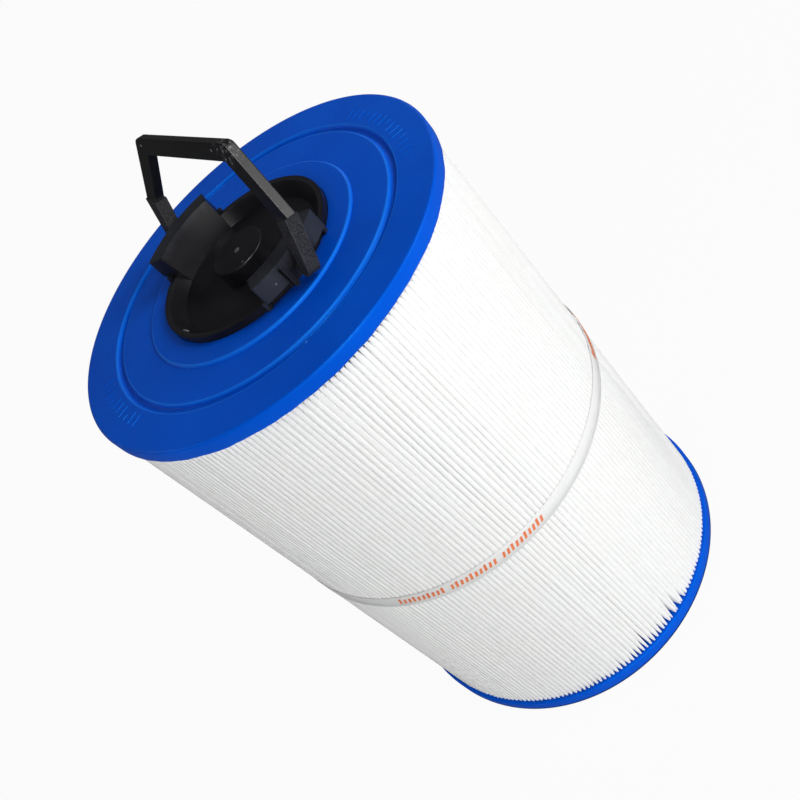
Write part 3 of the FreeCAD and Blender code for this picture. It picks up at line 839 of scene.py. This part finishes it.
def make_base_marks():
    """Ejector and gate marks: two on top of the boss and one on the outside of an ear."""
    up = (0, 0, 1)
    on_boss = around(12.4 * MM, math.radians(-26), BOSS_TOP)
    on_ear = around(EAR_RADIUS, math.radians(-15), CAP_FACE + 10.9 * MM)
    blocks = [low_dome((0, 0, BOSS_TOP), up, 1.5 * MM, 0.12 * MM)]
    blocks.append(low_dome(on_boss, up, 0.6 * MM, 0.10 * MM))
    blocks.append(low_dome(on_ear, (on_ear.x, on_ear.y, 0), 0.5 * MM, 0.15 * MM))
    piece = joined("base_ejector_marks", blocks)
    piece.data.materials.append(pale_mark("ejector_mark", (0.05, 0.05, 0.055), (0.12, 0.12, 0.125)))
    ride(piece, BODY, "handle_plastic")


def make_dish_scar():
    """Two rubbed spots side by side on the slope of the dish."""
    blocks = []
    for degrees in (-94.5, -91.5):
        azimuth = math.radians(degrees)
        spot = around(45.4 * MM, azimuth, CAP_FACE + 3.7 * MM)
        inward_slope = around(-0.71, azimuth, 0.70)
        blocks.append(low_dome(spot, inward_slope, 0.9 * MM, 0.12 * MM))
    piece = joined("dish_scar", blocks)
    piece.data.materials.append(pale_mark("dish_scar", (0.20, 0.20, 0.21), (0.42, 0.42, 0.43)))
    ride(piece, BODY, "handle_plastic")


def make_cap_bubble():
    """A burst bubble in the bottom of the cast cap's groove."""
    middle = (GROOVE_INNER + GROOVE_OUTER) / 2
    spot = around(middle, math.radians(-21.6), CAP_FACE - GROOVE_DEPTH)
    piece = joined("cap_bubble", [low_dome(spot, (0, 0, 1), 0.8 * MM, 0.4 * MM)])
    piece.data.materials.append(pale_mark("cap_bubble", (0.03, 0.30, 0.90), (0.20, 0.50, 1.0)))
    ride(piece, BODY, "cap_casting")


# ---------------------------------------------------------------- carried-over nodes

def finish_node(name, material):
    """Give a node of the design, shown as it is, its material."""
    materials = frame["nodes"][name].data.materials
    materials.clear()
    materials.append(material)


# ---------------------------------------------------------------- stage

def direction(azimuth, elevation):
    """Unit vector towards an azimuth and elevation."""
    return around(math.cos(elevation), azimuth, math.sin(elevation))


def camera_axes():
    """Right, up and forward of the photograph's camera, and where it stands."""
    outward = direction(CAMERA_AZIMUTH, CAMERA_ELEVATION)
    spot = Vector((0, 0, CAP_FACE)) + outward * CAMERA_DISTANCE
    forward = -outward
    right = forward.cross(Vector((0, 0, 1))).normalized()
    up = right.cross(forward)
    rolled_right = right * math.cos(CAMERA_ROLL) + up * math.sin(CAMERA_ROLL)
    rolled_up = up * math.cos(CAMERA_ROLL) - right * math.sin(CAMERA_ROLL)
    aim = (forward * math.cos(CAMERA_PAN) * math.cos(CAMERA_TILT)
           + rolled_right * math.sin(CAMERA_PAN) * math.cos(CAMERA_TILT)
           + rolled_up * math.sin(CAMERA_TILT))
    side = (rolled_right - aim * rolled_right.dot(aim)).normalized()
    return side, side.cross(aim), aim, spot


def make_camera():
    """The photograph's camera: its lens, and its axes set as the object's own."""
    right, up, forward, spot = camera_axes()
    data = bpy.data.cameras.new("camera")
    data.lens = CAMERA_LENS
    data.sensor_width = SENSOR_WIDTH
    camera = bpy.data.objects.new("camera", data)
    bpy.context.collection.objects.link(camera)
    turn = Matrix((right, up, -forward)).transposed()
    camera.matrix_world = Matrix.Translation(spot) @ turn.to_4x4()
    bpy.context.scene.camera = camera


def area_light(name, azimuth, elevation, distance, size, power, mirrored=True, diffuse=True):
    """Round soft light aimed at the middle of the cartridge, placed by angles in degrees.

    It is seen in glossy faces if mirrored, and lights matt faces if diffuse.
    """
    data = bpy.data.lights.new(name, "AREA")
    data.shape = "DISK"
    data.size = size
    data.energy = power
    lamp = bpy.data.objects.new(name, data)
    bpy.context.collection.objects.link(lamp)
    toward = direction(math.radians(azimuth), math.radians(elevation))
    lamp.location = Vector((0, 0, CAP_FACE / 2)) + toward * distance
    lamp.rotation_mode = "QUATERNION"
    lamp.rotation_quaternion = toward.to_track_quat("Z", "Y")
    lamp.visible_glossy = mirrored
    lamp.visible_diffuse = diffuse


def make_lights():
    """A key from the right, fills all round, and a small light for glints along moulded edges."""
    area_light("key", azimuth=49, elevation=36, distance=1.6, size=0.9, power=14)
    area_light("camera_fill", azimuth=-14, elevation=12, distance=2.0, size=1.6, power=26)
    area_light("side_fill", azimuth=-52, elevation=8, distance=2.5, size=1.8, power=6)
    area_light("left_back_fill", azimuth=212, elevation=25, distance=2.5, size=1.2, power=12,
               mirrored=False)
    area_light("right_back_fill", azimuth=130, elevation=15, distance=2.5, size=1.2, power=12,
               mirrored=False)
    area_light("under_fill", azimuth=0, elevation=-90, distance=1.6, size=0.4, power=5, mirrored=False)
    area_light("edge_glint", azimuth=-10, elevation=60, distance=1.6, size=0.3, power=24, diffuse=False)


def seen_white(tree, shader_output, share):
    """Blend a shader with plain white, by this share, where the camera looks straight at it."""
    path = tree.nodes.new("ShaderNodeLightPath")
    glow = tree.nodes.new("ShaderNodeEmission")
    factor = tree.nodes.new("ShaderNodeMath")
    factor.operation = "MULTIPLY"
    tree.links.new(path.outputs["Is Camera Ray"], factor.inputs[0])
    factor.inputs[1].default_value = share
    blend = tree.nodes.new("ShaderNodeMixShader")
    tree.links.new(factor.outputs["Value"], blend.inputs["Fac"])
    tree.links.new(shader_output, blend.inputs[1])
    tree.links.new(glow.outputs["Emission"], blend.inputs[2])
    return blend.outputs["Shader"]


def make_floor():
    """White floor that is clear when seen from below, and lets the light below it through."""
    half = 6
    level = -0.1 * MM
    sides = ((-1, -1), (1, -1), (1, 1), (-1, 1))
    corners = [(half * across, half * along, level) for across, along in sides]
    floor = mesh_object("floor", corners, [(0, 1, 2, 3)])
    shader = Shader("floor_paint")
    shader.set(Base_Color=(0.55, 0.55, 0.55, 1), Roughness=0.95, Specular_IOR_Level=0.0)
    whitened = seen_white(shader.tree, shader.surface.outputs["BSDF"], 0.95)
    geometry = shader.node("ShaderNodeNewGeometry")
    clear = shader.node("ShaderNodeBsdfTransparent")
    path = shader.node("ShaderNodeLightPath")
    from_below = geometry.outputs["Backfacing"]
    for_shadow = path.outputs["Is Shadow Ray"]
    let_through = shader.number_math("MAXIMUM", from_below, for_shadow)
    one_sided = shader.node("ShaderNodeMixShader", Fac=let_through)
    shader.tree.links.new(whitened, one_sided.inputs[1])
    shader.tree.links.new(clear.outputs["BSDF"], one_sided.inputs[2])
    output = shader.tree.nodes["Material Output"]
    shader.tree.links.new(one_sided.outputs["Shader"], output.inputs["Surface"])
    floor.data.materials.append(shader.material)
    floor.visible_glossy = False


def make_world():
    """A dim, slightly blue studio that looks white to the camera."""
    world = bpy.data.worlds.new("studio")
    bpy.context.scene.world = world
    world.use_nodes = True
    tree = world.node_tree
    background = tree.nodes["Background"]
    background.inputs["Color"].default_value = (0.92, 0.96, 1.0, 1)
    background.inputs["Strength"].default_value = 0.10
    whitened = seen_white(tree, background.outputs["Background"], 1.0)
    tree.links.new(whitened, tree.nodes["World Output"].inputs["Surface"])
    bpy.context.scene.view_settings.view_transform = "Standard"


# ---------------------------------------------------------------- the object and its stage

make_media()
make_top_cap()
make_bottom_cap()
make_cap_bars()
make_strap()
make_strap_print()
make_handle_marks()
make_base_marks()
make_dish_scar()
make_cap_bubble()
finish_node("core_tube", core_plastic())
finish_node("media_seam_clip", clip_plastic())
finish_node("handle_base", base_plastic())
finish_node("handle", handle_plastic())
make_floor()
make_world()
make_lights()
make_camera()
